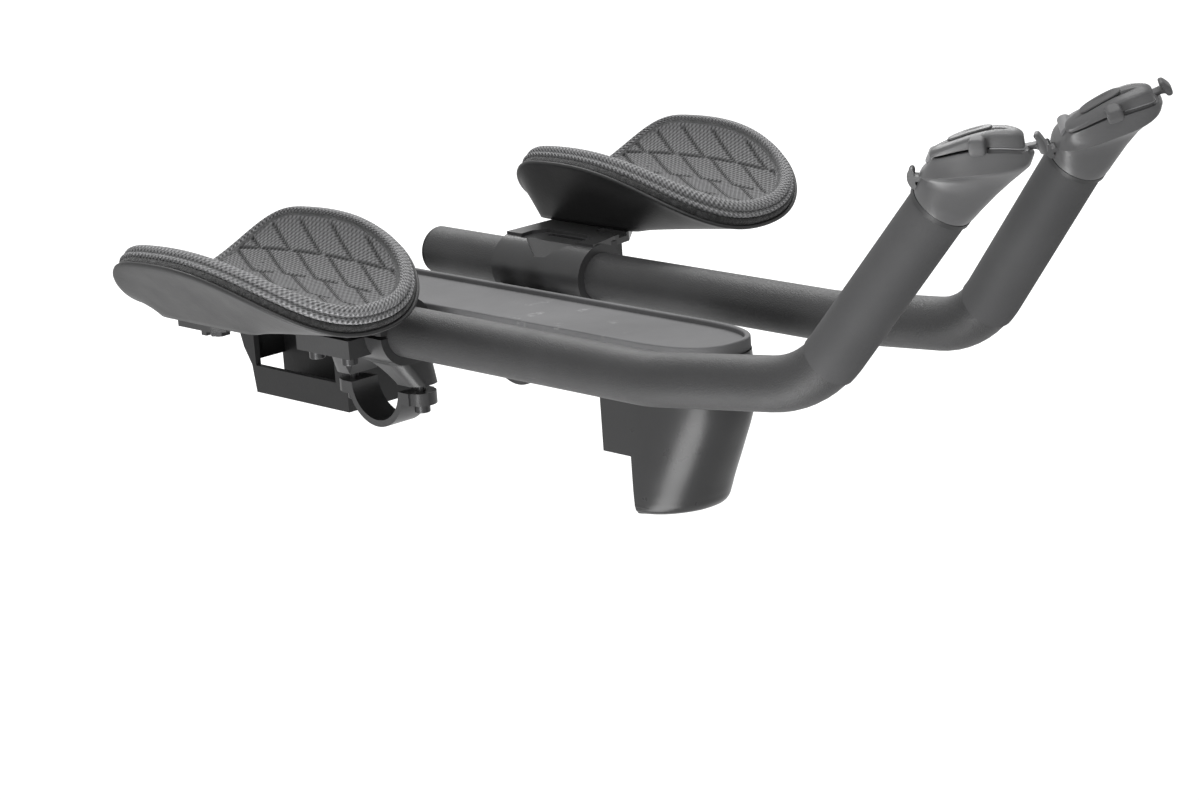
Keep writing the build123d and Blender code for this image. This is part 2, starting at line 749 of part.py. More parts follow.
def controller_cap():
    cap = deck_oval(0, CAP_LOW, CAP_TOP)
    top = cap.edges().sort_by(Axis((0, 0, 0), fan_plane(0).z_dir))[-1:]
    cap = soften(cap, top, 1.0)
    shape, x = button_box(RUN_GAP, 4)
    cap = cap - in_deck(shape, BUTTON_MID[0], BUTTON_MID[1], x - BUTTON_TRAVEL - 0.3)
    return cap - roller_parts(RUN_GAP, PIVOT_GAP)


def cap_plate():
    plate = extrude(SlotOverall(PLATE_LEN, PLATE_W), PLATE_T)
    return in_deck(Rot(0, 0, 90) * plate, PLATE_MID, CAP_TOP)


def side_button():
    shape, x = button_box(0, 0)
    face = shape.faces().sort_by(Axis.X)[-1]
    shape = soften(shape, face.edges(), 0.7)
    return in_deck(shape, BUTTON_MID[0], BUTTON_MID[1], x)


def front_lever():
    return lever(FRONT_LEVER, FRONT_PIVOT, -14)


def rear_lever():
    return lever(REAR_LEVER, REAR_PIVOT, -28)


def thumb_roller():
    return roller_parts(0, 0)


plain = {
    "bracket": bracket(),
    "clamp_cap": clamp_cap(),
    "clamp_bolts": Compound(children=clamp_bolts()),
    "pinch_bolts": Compound(children=pinch_bolts()),
    "armrest_cup": armrest_cup(),
    "armrest_layer": armrest_layer(),
    "armrest_pad": armrest_pad(),
    "cup_bolts": Compound(children=cup_bolts()),
    "cup_nuts": Compound(children=cup_nuts()),
}
tip = {
    "controller_body": controller_body(),
    "controller_collar": controller_collar(),
    "controller_cap": controller_cap(),
    "cap_plate": cap_plate(),
    "side_button": side_button(),
    "front_lever": front_lever(),
    "rear_lever": rear_lever(),
    "thumb_roller": thumb_roller(),
}
for side in ("right", "left"):
    save(place_extension(extension(), side), "extension_" + side)
    save(place_extension(end_plug(), side), "end_plug_" + side)
    save(place_extension(grip(), side), "grip_" + side)
    for name, shape in plain.items():
        save(place_side(shape, side), name + "_" + side)
    frame = tip_frame(side)
    for name, shape in tip.items():
        save(frame.location * shape, name + "_" + side)
save(tray_lid(), "tray_lid")
save(spine(), "spine")
save(nose(), "nose")
save(Compound(children=spine_screws()), "spine_screws")
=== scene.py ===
"""A clip-on aero bar: padded armrests, bent extensions with tip controllers, centre tray."""
import json
import math

import bpy
import numpy as np
from mathutils import Matrix, Vector


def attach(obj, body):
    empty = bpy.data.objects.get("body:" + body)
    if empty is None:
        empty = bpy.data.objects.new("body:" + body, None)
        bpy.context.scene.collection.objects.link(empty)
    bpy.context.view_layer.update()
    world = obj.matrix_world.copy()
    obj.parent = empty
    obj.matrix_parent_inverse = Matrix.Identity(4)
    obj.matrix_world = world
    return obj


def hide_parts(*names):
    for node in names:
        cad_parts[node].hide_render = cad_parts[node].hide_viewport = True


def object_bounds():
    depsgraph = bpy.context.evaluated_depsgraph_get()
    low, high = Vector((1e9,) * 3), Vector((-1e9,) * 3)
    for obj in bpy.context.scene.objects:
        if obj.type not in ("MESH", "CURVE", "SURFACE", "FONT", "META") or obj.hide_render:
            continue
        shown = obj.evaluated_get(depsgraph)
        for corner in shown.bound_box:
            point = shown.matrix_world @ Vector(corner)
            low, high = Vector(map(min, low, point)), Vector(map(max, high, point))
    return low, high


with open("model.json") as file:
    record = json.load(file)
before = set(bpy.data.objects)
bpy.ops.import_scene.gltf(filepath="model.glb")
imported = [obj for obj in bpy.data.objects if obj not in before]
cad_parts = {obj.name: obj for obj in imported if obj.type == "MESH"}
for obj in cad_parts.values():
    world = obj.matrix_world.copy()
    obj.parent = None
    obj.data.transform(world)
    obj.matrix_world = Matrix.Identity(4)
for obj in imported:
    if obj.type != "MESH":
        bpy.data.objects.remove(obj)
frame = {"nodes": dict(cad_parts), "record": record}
cad_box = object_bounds()
NODES = frame["nodes"]
MM = 0.001
SIDES = ("right", "left")

# Materials


def new_material(name):
    mat = bpy.data.materials.new(name)
    mat.use_nodes = True
    nodes = mat.node_tree.nodes
    nodes.clear()
    out = nodes.new("ShaderNodeOutputMaterial")
    shader = nodes.new("ShaderNodeBsdfPrincipled")
    mat.node_tree.links.new(shader.outputs[0], out.inputs["Surface"])
    return mat, shader


def add(mat, kind, **values):
    node = mat.node_tree.nodes.new(kind)
    for key, value in values.items():
        if key in node.inputs:
            node.inputs[key].default_value = value
        else:
            setattr(node, key, value)
    return node


def link(mat, a, b):
    mat.node_tree.links.new(a, b)


def object_point(mat):
    return add(mat, "ShaderNodeTexCoord").outputs["Object"]


def noise(mat, vector, scale, detail=3.0, rough=0.55):
    node = add(mat, "ShaderNodeTexNoise", Scale=scale, Detail=detail, Roughness=rough)
    link(mat, vector, node.inputs["Vector"])
    return node.outputs["Fac"]


def ramp(mat, value, low, high, color_a, color_b):
    node = add(mat, "ShaderNodeValToRGB")
    node.color_ramp.elements[0].position = low
    node.color_ramp.elements[1].position = high
    node.color_ramp.elements[0].color = (*color_a, 1)
    node.color_ramp.elements[1].color = (*color_b, 1)
    link(mat, value, node.inputs["Fac"])
    return node.outputs["Color"]


def math_node(mat, operation, a, b=None, c=None):
    node = add(mat, "ShaderNodeMath", operation=operation)
    for i, value in enumerate((a, b, c)):
        if value is None:
            continue
        if isinstance(value, (int, float)):
            node.inputs[i].default_value = value
        else:
            link(mat, value, node.inputs[i])
    return node.outputs[0]


def bump(mat, height, strength, distance):
    node = add(mat, "ShaderNodeBump", Strength=strength, Distance=distance)
    link(mat, height, node.inputs["Height"])
    return node.outputs["Normal"]


def multiply_colors(mat, a, b):
    node = add(mat, "ShaderNodeMix", data_type="RGBA", blend_type="MULTIPLY")
    node.inputs[0].default_value = 1.0
    link(mat, a, node.inputs[6])
    link(mat, b, node.inputs[7])
    return node.outputs[2]


def grey(level):
    return (level, level, level * 1.02)


GRAIN_HEIGHT = 0.0006
ROUGH_SPREAD = 0.16


def moulded(
    name, level, rough, grain=0.03, grain_scale=900, vary=0.12, metallic=0.0, coat=0.0, spec=0.5
):
    """Plastic, rubber or painted metal: fine grain and a faint cloudy variation."""
    mat, shader = new_material(name)
    point = object_point(mat)
    cloud = noise(mat, point, 28, 4)
    color = ramp(mat, cloud, 0.3, 0.75, grey(level * (1 - vary)), grey(level * (1 + vary)))
    link(mat, color, shader.inputs["Base Color"])
    fine = noise(mat, point, grain_scale, 2)
    mottled = noise(mat, point, 90, 3)
    rough_value = math_node(mat, "MULTIPLY_ADD", mottled, ROUGH_SPREAD, rough - ROUGH_SPREAD / 2)
    link(mat, rough_value, shader.inputs["Roughness"])
    link(mat, bump(mat, fine, grain, GRAIN_HEIGHT), shader.inputs["Normal"])
    shader.inputs["Metallic"].default_value = metallic
    shader.inputs["Coat Weight"].default_value = coat
    shader.inputs["Coat Roughness"].default_value = 0.25
    shader.inputs["Specular IOR Level"].default_value = spec
    return mat


BLACK, WHITE = (0, 0, 0), (1, 1, 1)
SCUFF_LEVEL = 0.36
SCUFF_STRENGTH = 0.45


def scuffed_rubber():
    """The tray lid: soft matt floor with pale scuffs and rubbed spots."""
    mat, shader = new_material("lid_rubber")
    point = object_point(mat)
    base = ramp(mat, noise(mat, point, 22, 5), 0.3, 0.75, grey(0.105), grey(0.145))
    spots = noise(mat, point, 75, 6, 0.7)
    mask = ramp(mat, spots, 0.60, 0.70, BLACK, WHITE)
    patch = ramp(mat, noise(mat, point, 14, 2), 0.50, 0.64, BLACK, WHITE)
    factor = add(mat, "ShaderNodeSeparateColor")
    link(mat, multiply_colors(mat, mask, patch), factor.inputs[0])
    mix = add(mat, "ShaderNodeMix", data_type="RGBA")
    link(mat, math_node(mat, "MULTIPLY", factor.outputs[0], SCUFF_STRENGTH), mix.inputs[0])
    link(mat, base, mix.inputs[6])
    mix.inputs[7].default_value = (SCUFF_LEVEL, SCUFF_LEVEL, SCUFF_LEVEL, 1)
    link(mat, mix.outputs[2], shader.inputs["Base Color"])
    shader.inputs["Roughness"].default_value = 0.7
    shader.inputs["Specular IOR Level"].default_value = 0.25
    grain = bump(mat, noise(mat, point, 700, 3), 0.12, GRAIN_HEIGHT)
    link(mat, grain, shader.inputs["Normal"])
    return mat


FUZZ = 0.35
PAINTED_GROOVE_SHADE = 0.72


def knit(name, level, pitch_a, pitch_b, twist, depth, dark):
    """Knit fabric from the piece's own flat pattern coordinates, in millimetres.

    A point attribute paints shade into the pressed lines, darker where they are deeper.
    """
    mat, shader = new_material(name)
    flat = add(mat, "ShaderNodeUVMap", uv_map="flat")
    split = add(mat, "ShaderNodeSeparateXYZ")
    link(mat, flat.outputs["UV"], split.inputs[0])
    across, along = split.outputs[0], split.outputs[1]
    slanted = math_node(mat, "MULTIPLY_ADD", along, twist, across)
    turns_a = math_node(mat, "MULTIPLY", slanted, 2 * math.pi / pitch_a)
    turns_b = math_node(mat, "MULTIPLY", along, 2 * math.pi / pitch_b)
    wave_a, wave_b = (math_node(mat, "SINE", turns) for turns in (turns_a, turns_b))
    cells = math_node(mat, "MULTIPLY", wave_a, wave_b)
    height = math_node(mat, "MULTIPLY_ADD", cells, 0.5, 0.5)
    mixed = math_node(mat, "MULTIPLY_ADD", noise(mat, object_point(mat), 1500, 2), FUZZ, height)
    # The colour follows the loops' height: painted shade in the hollows and painted glints on the
    # loop tops.
    color = ramp(mat, mixed, 0.15, 1.1, grey(level * dark), grey(level * 1.5))
    # painted shade: the pressed lines are darkened by their depth
    painted_press_shade = add(mat, "ShaderNodeAttribute", attribute_name="press_depth_and_shade")
    painted_shade_factor = math_node(mat, "MULTIPLY_ADD", painted_press_shade.outputs["Fac"], -PAINTED_GROOVE_SHADE, 1.0)
    link(mat, multiply_colors(mat, color, painted_shade_factor), shader.inputs["Base Color"])
    link(mat, bump(mat, mixed, 1.0, depth * MM), shader.inputs["Normal"])
    shader.inputs["Roughness"].default_value = 0.75
    shader.inputs["Sheen Weight"].default_value = 0.15
    shader.inputs["Sheen Roughness"].default_value = 0.4
    shader.inputs["Specular IOR Level"].default_value = 0.3
    return mat


def pile():
    """Dark hook-and-loop foam: rough loops of fibre."""
    mat, shader = new_material("hook_loop")
    point = object_point(mat)
    loops = noise(mat, point, 520, 5, 0.75)
    color = ramp(mat, loops, 0.42, 0.72, grey(0.003), grey(0.06))
    link(mat, color, shader.inputs["Base Color"])
    shader.inputs["Roughness"].default_value = 0.9
    shader.inputs["Sheen Weight"].default_value = 0.3
    link(mat, bump(mat, loops, 1.0, 0.0014), shader.inputs["Normal"])
    return mat


# moulded(name, level, roughness, grain, grain scale, cloudiness)
# knit(name, level, pitch across, pitch along, twist, depth, darkest share: the painted shade in the
# hollows)
MATERIALS = {
    "matt_black_alloy": moulded("matt_black_alloy", 0.033, 0.46, 0.45, 1700, 0.12, spec=0.30),
    "black_plastic": moulded("black_plastic", 0.014, 0.45, spec=0.25),
    "grip_rubber": moulded("grip_rubber", 0.062, 0.66, 0.12, 700, 0.10, spec=0.18),
    "satin_cast_alloy": moulded(
        "satin_cast_alloy", 0.034, 0.34, 0.08, 900, 0.15, spec=0.35, coat=0.05
    ),
    "bolt_steel": moulded("bolt_steel", 0.055, 0.32, metallic=0.9),
    "cup_plastic": moulded("cup_plastic", 0.021, 0.42, 0.10, 900, 0.12, spec=0.32),
    "hook_loop": pile(),
    "pad_knit": knit("pad_knit", 0.125, 3.0, 2.6, 0.0, 1.0, 0.40),
    "rim_knit": knit("rim_knit", 0.235, 2.3, 2.9, 0.45, 1.1, 0.38),
    "controller_plastic": moulded("controller_plastic", 0.085, 0.38, 0.05, 900, 0.06, spec=0.45),
    "collar_metal": moulded("collar_metal", 0.03, 0.5, metallic=0.3),
    "button_plastic": moulded("button_plastic", 0.085, 0.45, 0.02, 700, 0.03, spec=0.35),
    "roller_plastic": moulded("roller_plastic", 0.22, 0.45, 0.02, 700, 0.03, spec=0.35),
    "lid_rubber": scuffed_rubber(),
    "housing_plastic": moulded("housing_plastic", 0.018, 0.45, 0.08, 700, 0.10, spec=0.25),
    "nose_gloss": moulded("nose_gloss", 0.026, 0.30, 0.05, 900, 0.06, spec=0.30),
}

# Mesh helpers


def sharpen(obj, degrees=35):
    """Smooth shading that breaks at edges sharper than the angle."""
    split = obj.modifiers.new("sharp_edges", "EDGE_SPLIT")
    split.split_angle = math.radians(degrees)


SOLID_EDGE = 32
SLOT = {s["node"]: s["material_slot"] for s in frame["record"]["subparts"]}
for node, obj in NODES.items():
    obj.data.materials.clear()
    obj.data.materials.append(MATERIALS[SLOT[node]])
    for polygon in obj.data.polygons:
        polygon.use_smooth = True
    sharpen(obj, SOLID_EDGE)


def make_object(name, points, faces, material, body, flat=None, smooth=True):
    """A mesh from points in millimetres; flat gives its pattern coordinates."""
    mesh = bpy.data.meshes.new(name)
    mesh.from_pydata([tuple(p) for p in np.asarray(points) * MM], [], faces)
    mesh.update()
    if smooth:
        for polygon in mesh.polygons:
            polygon.use_smooth = True
    if flat is not None:
        layer = mesh.uv_layers.new(name="flat")
        for loop in mesh.loops:
            layer.data[loop.index].uv = flat[loop.vertex_index]
    obj = bpy.data.objects.new(name, mesh)
    bpy.context.scene.collection.objects.link(obj)
    mesh.materials.append(MATERIALS[material])
    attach(obj, body)
    return obj


def ring_faces(rows, count, start=0, closed=True, flip=False):
    """Quads between rings of points that follow each other."""
    faces = []
    last = count if closed else count - 1
    for r in range(rows - 1):
        for c in range(last):
            a = start + r * count + c
            b = start + r * count + (c + 1) % count
            quad = (a, b, b + count, a + count)
            faces.append(quad[::-1] if flip else quad)
    return faces


# Armrests
# u runs across an armrest, outboard, and v forward, in millimetres from the groove's middle

PAD_X = 115.05
PAD_Y = -8.06
PAD_HALF = 44.56
PAD_FRONT = 92.25
PAD_BACK = 35.21
PAD_POWER = 2.7
PAD_YAW = 0.025
PAD_TAPER = 0.033 / 50
RIM_IN = 5.2
RIM_NARROW = 2.6
PAD_DROP = 2.8


# the groove's surface: its height in the middle, then the factors of u^2, u^4, v, u^2 v and v^2
SADDLE_Z = 57.91
SADDLE_U2 = 0.913 / 100
SADDLE_U4 = 1.436 / 1e6
SADDLE_V = 0.074
SADDLE_U2V = -0.248 / 1e4
SADDLE_V2 = -0.099 / 100


def saddle(u, v):
    wings = SADDLE_U2 * u**2 + SADDLE_U4 * u**4
    return SADDLE_Z + wings + SADDLE_V * v + SADDLE_U2V * u**2 * v + SADDLE_V2 * v**2


def saddle_normal(u, v):
    du = 2 * SADDLE_U2 * u + 4 * SADDLE_U4 * u**3 + 2 * SADDLE_U2V * u * v
    dv = SADDLE_V + SADDLE_U2V * u**2 + 2 * SADDLE_V2 * v
    n = np.stack([-du, -dv, np.ones_like(du)], -1)
    return n / np.linalg.norm(n, axis=-1, keepdims=True)


def superellipse(t, power):
    """Both coordinates of a unit superellipse."""
    c, s = np.cos(t), np.sin(t)
    return np.sign(c) * np.abs(c) ** (2 / power), np.sign(s) * np.abs(s) ** (2 / power)


def outline_uv(t):
    p, q = superellipse(t, PAD_POWER)
    v = np.where(q > 0, PAD_FRONT, PAD_BACK) * q
    return PAD_HALF * p * (1 + PAD_TAPER * v), v


def place_pad(u, v, side):
    c, s = math.cos(PAD_YAW), math.sin(PAD_YAW)
    x = PAD_X + c * u - s * v
    y = PAD_Y + s * u + c * v
    return (x if side == "right" else -x), y


def surface_points(u, v, lift, side):
    """Points at a height above the saddle, measured along its normal."""
    n = saddle_normal(u, v)
    uu = u + n[..., 0] * lift
    vv = v + n[..., 1] * lift
    z = saddle(u, v) + n[..., 2] * lift
    x, y = place_pad(uu, vv, side)
    return np.stack([x, y, z], -1)


# the pressed pattern: rows along v, each crossed by slanted lines at one pitch
PATTERN_PITCH = 20.4
LINE_HALF = 0.95
PATTERN_ROWS = (-44.0, -28.0, -12.0, 4.0, 20.0, 36.0)
PATTERN_START = (-4.5, 12.6, 6.0, 0.0, 14.0)
PATTERN_SLOPE = (2.05, 1.85, 1.8, 1.8, 1.8)
ROW_START_GAP, ROW_END_OVER = 0.6, 0.2
GAP_FIRST_ROW = 2.5
LINE_OTHER_ROWS = 13.5


def groove(distance, width):
    return np.clip(1 - (distance / width) ** 2, 0, 1)


def pattern(u, v):
    """Depth of the pressed lines, 0 to 1, at points of the pad."""
    depth = np.zeros_like(u)
    for k, (start, slope) in enumerate(zip(PATTERN_START, PATTERN_SLOPE)):
        low, high = PATTERN_ROWS[k], PATTERN_ROWS[k + 1]
        line = start + slope * (u - low)
        off = (v - line + PATTERN_PITCH / 2) % PATTERN_PITCH - PATTERN_PITCH / 2
        inside = (u > low + ROW_START_GAP) & (u < high + ROW_END_OVER)
        depth = np.maximum(depth, groove(off / math.hypot(1, slope), LINE_HALF) * inside)
        end = start + slope * (high - low)
        along = (v - end) % PATTERN_PITCH
        present = (along > GAP_FIRST_ROW) if k == 0 else (along < LINE_OTHER_ROWS)
        depth = np.maximum(depth, groove(u - high, LINE_HALF) * present)
    return depth


CREASE = ((-21.9, -1.0), (-11.2, 0.8))
CREASE_HALF = 0.8


def ridge(u, v):
    """One short raised crease between two of the diamonds."""
    (ua, va), (ub, vb) = CREASE
    du, dv = ub - ua, vb - va
    k = np.clip(((u - ua) * du + (v - va) * dv) / (du * du + dv * dv), 0, 1)
    return groove(np.hypot(u - ua - k * du, v - va - k * dv), CREASE_HALF)


def toward_inside(side_x, side):
    """0 on the +X wing and 1 on the -X wing, for a place -1..1 across the armrest."""
    toward = -side_x if side == "right" else side_x
    return np.clip(0.5 + 0.5 * toward, 0, 1) ** 2


def outline_grid(cells_u, cells_v, inset, narrow=0.0, side="right"):
    """A square grid on the pad's outline, drawn in by inset, less on the -X wing."""
    p = np.linspace(-1, 1, cells_u + 1)[:, None] * np.ones((1, cells_v + 1))
    q = np.linspace(-1, 1, cells_v + 1)[None, :] * np.ones((cells_u + 1, 1))
    n = PAD_POWER
    x = p * (1 - np.abs(q) ** n / 2) ** (1 / n)
    y = q * (1 - np.abs(p) ** n / 2) ** (1 / n)
    v = y * (np.where(y > 0, PAD_FRONT, PAD_BACK) - inset)
    inset_u = inset - narrow * toward_inside(x, side)
    return x * (PAD_HALF - inset_u) * (1 + PAD_TAPER * v), v


def grid_border(cells_u, cells_v):
    """Index pairs round the grid's border, anticlockwise seen from above."""
    border = [(i, 0) for i in range(cells_u)]
    border += [(cells_u, j) for j in range(cells_v)]
    border += [(i, cells_v) for i in range(cells_u, 0, -1)]
    border += [(0, j) for j in range(cells_v, 0, -1)]
    return border


# the rolled rim's section: distance outward from the outline and height above the groove
RIM_PROFILE = (
    (-4.9, 3.4), (-4.2, 3.95), (-3.4, 4.5), (-2.4, 4.75), (-1.4, 4.6), (-0.4, 4.1), (0.4, 3.3),
    (0.9, 2.4), (1.0, 1.5), (0.6, 0.8), (-0.1, 0.35), (-0.5, 0.0), (-0.1, -0.3), (0.6, -0.7),
    (1.1, -1.1), (1.3, -1.6), (1.1, -2.1), (0.6, -2.5), (-0.4, -2.75), (-2.0, -2.8),
)
PANEL_LIFT = 3.0
PRESS_DEPTH = 0.9
CREASE_RISE = 0.35
EDGE_RISE = 0.25
FADE_CELLS, EDGE_CELLS = 3, 5
PAD_UNDER_RINGS = (0.8, 0.55, 0.3, 0.08)
PANEL_CELLS = (170, 250)


def rim_frame(u, v):
    """Outward direction in the saddle's surface and the normal, along a closed outline."""
    n = saddle_normal(u, v)
    here = np.stack([u, v, saddle(u, v)], -1)
    along = np.roll(here, -1, 0) - np.roll(here, 1, 0)
    along /= np.linalg.norm(along, axis=1, keepdims=True)
    out = np.cross(along, n)
    out /= np.linalg.norm(out, axis=1, keepdims=True)
    return here, out, n


def to_kit(local, side):
    x, y = place_pad(local[..., 0], local[..., 1], side)
    return np.stack([x, y, local[..., 2]], -1)


def build_pad(side):
    """The knitted pad: a pressed panel and a rolled rim that closes underneath."""
    nu, nv = PANEL_CELLS
    u, v = outline_grid(nu, nv, RIM_IN, RIM_NARROW, side)
    border = grid_border(nu, nv)
    bi = np.array([b[0] for b in border])
    bj = np.array([b[1] for b in border])
    pattern_u = u if side == "right" else -u
    i, j = np.indices(u.shape)
    cells_in = np.minimum.reduce([i, nu - i, j, nv - j])
    fade = np.clip((cells_in - 1) / FADE_CELLS, 0, 1)
    near_edge = np.clip(1 - cells_in / EDGE_CELLS, 0, 1)
    press_depth_and_shade = pattern(pattern_u, v) * fade
    lift = PANEL_LIFT - PRESS_DEPTH * press_depth_and_shade + CREASE_RISE * ridge(pattern_u, v)
    lift = lift + EDGE_RISE * near_edge
    top = surface_points(u, v, lift, side).reshape(-1, 3)
    flat = [(a, b) for a, b in zip(u.ravel(), v.ravel())]
    count = len(border)
    # the rim: rings round the outline
    full_u, full_v = outline_grid(nu, nv, 0.0)
    ru, rv = full_u[bi, bj], full_v[bi, bj]
    here, out, n = rim_frame(ru, rv)
    length = np.concatenate([[0], np.cumsum(np.linalg.norm(np.diff(here, axis=0), axis=1))])
    rings = []
    ring_flat = []
    travel = 0.0
    previous = None
    pull = (RIM_NARROW * toward_inside(ru / PAD_HALF, side) / RIM_IN)[:, None]
    for d, h in RIM_PROFILE:
        reach = out * d * (1 - pull) if d < 0 and h > 0 else out * d
        rings.append(to_kit(here + reach + n * h, side))
        if previous is not None:
            travel += math.hypot(d - previous[0], h - previous[1])
        previous = (d, h)
        ring_flat += [(s, travel) for s in length]
    for scale in PAD_UNDER_RINGS:
        rings.append(surface_points(ru * scale, rv * scale, np.full_like(ru, -PAD_DROP), side))
        ring_flat += [(s, travel) for s in length]
    points = np.concatenate([top] + rings)
    flat += ring_flat
    flip = side == "left"
    faces = []
    stride = nv + 1
    for i in range(nu):
        for j in range(nv):
            a = i * stride + j
            quad = (a, a + stride, a + stride + 1, a + 1)
            faces.append(quad[::-1] if flip else quad)
    panel_faces = len(faces)
    base = (nu + 1) * stride
    seam = [i * stride + j for i, j in border]
    for c in range(count):
        d = (c + 1) % count
        quad = (seam[c], base + c, base + d, seam[d])
        faces.append(quad[::-1] if flip else quad)
    faces += ring_faces(len(rings), count, base, True, not flip)
    last = base + (len(rings) - 1) * count
    cap = tuple(last + c for c in range(count))
    faces.append(cap if flip else cap[::-1])
    obj = make_object("knit_pad_" + side, points, faces, "pad_knit", "kit", flat)
    obj.data.materials.append(MATERIALS["rim_knit"])
    for index in range(panel_faces, len(faces)):
        obj.data.polygons[index].material_index = 1
    # the pressed lines' depth, kept for the material's painted shade in the grooves
    layer = obj.data.attributes.new("press_depth_and_shade", "FLOAT", "POINT")
    values = np.zeros(len(points), dtype=np.float32)
    values[: press_depth_and_shade.size] = press_depth_and_shade.ravel()
    layer.data.foreach_set("value", values)
    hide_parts("armrest_pad_" + side)


FACE_RINGS = (0.08, 0.4, 0.7)


def level_rings(u, v, lift, side):
    """Rings inside the outline at one height above the groove, from the middle outward."""
    return [surface_points(u * s, v * s, np.full_like(u, lift), side) for s in FACE_RINGS]


def stacked_object(name, rings, slot, node, side):
    """A closed piece of an armrest from its rings, top to bottom."""
    count = len(rings[0])
    left = side == "left"
    faces = ring_faces(len(rings), count, 0, True, not left)
    first = tuple(range(count))
    last = tuple((len(rings) - 1) * count + c for c in range(count))
    faces.append(first[::-1] if left else first)
    faces.append(last if left else last[::-1])
    obj = make_object(name + "_" + side, np.concatenate(rings), faces, slot, "kit")
    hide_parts(node + "_" + side)


# sections of the foam layer and of the cup's lip, like RIM_PROFILE
LAYER_PROFILE = (
    (-3, -2.85), (-0.6, -2.9), (0.2, -3.3), (0.45, -4.4), (0.25, -5.5), (-0.5, -6.1), (-3, -6.15),
)
CUP_LIP = ((-3, -6.2), (0.4, -6.2), (1.0, -6.4), (1.25, -6.9), (1.1, -7.5), (0.4, -7.9))
LAYER_POINTS = 420
CUP_POINTS = 360
CUP_START = (-0.8, -8.0)
CUP_BASE_MID = (109.9, 2.2)
CUP_BASE_HALF = (28.7, 34.6)
CUP_BASE_Z = 46.7
CUP_BASE_POWER = 12.0
CUP_BASE_RINGS = (0.985, 0.95, 0.5, 0.05)
CUP_STEPS = 15
CUP_BEND = 0.52


def outline_frame(count):
    t = np.linspace(0, 2 * math.pi, count, endpoint=False)
    u, v = outline_uv(t)
    return t, u, v, rim_frame(u, v)


def build_layer(side):
    _, u, v, (here, out, n) = outline_frame(LAYER_POINTS)
    rings = level_rings(u, v, LAYER_PROFILE[0][1], side)
    rings += [to_kit(here + out * d + n * h, side) for d, h in LAYER_PROFILE]
    rings += level_rings(u, v, LAYER_PROFILE[-1][1], side)[::-1]
    stacked_object("foam_layer", rings, "hook_loop", "armrest_layer", side)


def build_cup(side):
    """The cup flares from a nearly square base up to its lip under the layer."""
    t, u, v, (here, out, n) = outline_frame(CUP_POINTS)
    rings = level_rings(u, v, CUP_LIP[0][1], side)
    rings += [to_kit(here + out * d + n * h, side) for d, h in CUP_LIP]
    start = to_kit(here + out * CUP_START[0] + n * CUP_START[1], "right")
    p, q = superellipse(t, CUP_BASE_POWER)
    middle = np.array([*CUP_BASE_MID, CUP_BASE_Z])
    end = middle + np.stack([CUP_BASE_HALF[0] * p, CUP_BASE_HALF[1] * q, 0 * p], -1)
    control = start * (1 - CUP_BEND) + end * CUP_BEND
    control[:, 2] = start[:, 2] * CUP_BEND + end[:, 2] * (1 - CUP_BEND)
    flare = [
        start * (1 - k) ** 2 + control * 2 * k * (1 - k) + end * k**2
        for k in np.linspace(0, 1, CUP_STEPS)
    ]
    flare += [middle + (end - middle) * np.array([k, k, 1]) for k in CUP_BASE_RINGS]
    mirror = np.array([-1 if side == "left" else 1, 1, 1])
    rings += [ring * mirror for ring in flare]
    stacked_object("moulded_cup", rings, "cup_plastic", "armrest_cup", side)


for side in SIDES:
    build_pad(side)
    build_layer(side)
    build_cup(side)

# Nose

# heights of the nose's sections, how far each reaches forward, and its half width
NOSE_Z = (-43.0, -42.0, -40.0, -36.0, -31.0, -14.0, 3.0, 15.0, 27.0)
NOSE_FRONT = (152.1, 156.1, 158.9, 161.1, 163.3, 171.6, 178.7, 179.7, 178.3)
NOSE_SIDE = (20.3, 21.3, 21.8, 22.15, 22.25, 22.28, 22.28, 22.28, 22.28)
NOSE_Y = 133.0
NOSE_LOW, NOSE_BEND, NOSE_HIGH = -43, -36, 27
NOSE_POWER = (2.1, 2.5)
NOSE_FLOOR_DROP = 0.4
NOSE_COLUMNS = 91
NOSE_ROWS = (15, 50)


def smooth_values(levels, values, at):
    """Cubic curve through the given values, with slopes from the neighbours."""
    levels, values = np.array(levels), np.array(values)
    step = np.diff(values) / np.diff(levels)
    slope = np.concatenate([[step[0]], (step[1:] + step[:-1]) / 2, [step[-1]]])
    k = np.clip(np.searchsorted(levels, at) - 1, 0, len(levels) - 2)
    h = levels[k + 1] - levels[k]
    f = (at - levels[k]) / h
    a = values[k] * (1 + 2 * f) * (1 - f) ** 2 + values[k + 1] * f**2 * (3 - 2 * f)
    return a + h * (slope[k] * f * (1 - f) ** 2 + slope[k + 1] * f**2 * (f - 1))


def build_nose():
    """The rounded skin of the nose housing, a little outside the moulded shell."""
    low = np.linspace(NOSE_LOW, NOSE_BEND, NOSE_ROWS[0])
    levels = np.concatenate([low, np.linspace(NOSE_BEND + 1, NOSE_HIGH, NOSE_ROWS[1])])
    front = smooth_values(NOSE_Z, NOSE_FRONT, levels)
    half = smooth_values(NOSE_Z, NOSE_SIDE, levels)
    t = np.linspace(0, math.pi, NOSE_COLUMNS)
    rings = []
    for z, y, w in zip(levels, front, half):
        power = np.interp(z, (NOSE_LOW, NOSE_HIGH), NOSE_POWER)
        p, q = superellipse(t, power)
        rings.append(np.stack([w * p, NOSE_Y + (y - NOSE_Y) * np.abs(q), 0 * p + z], -1))
    floor = rings[0].copy()
    floor[:, 1] = NOSE_Y + (floor[:, 1] - NOSE_Y) * 0.5
    floor[:, 2] -= NOSE_FLOOR_DROP
    line = floor.copy()
    line[:, 1] = NOSE_Y
    points = np.concatenate([line, floor] + rings)
    faces = ring_faces(len(rings) + 2, len(t), 0, closed=False)
    make_object("nose_skin", points, faces, "nose_gloss", "kit")


build_nose()

# Controllers

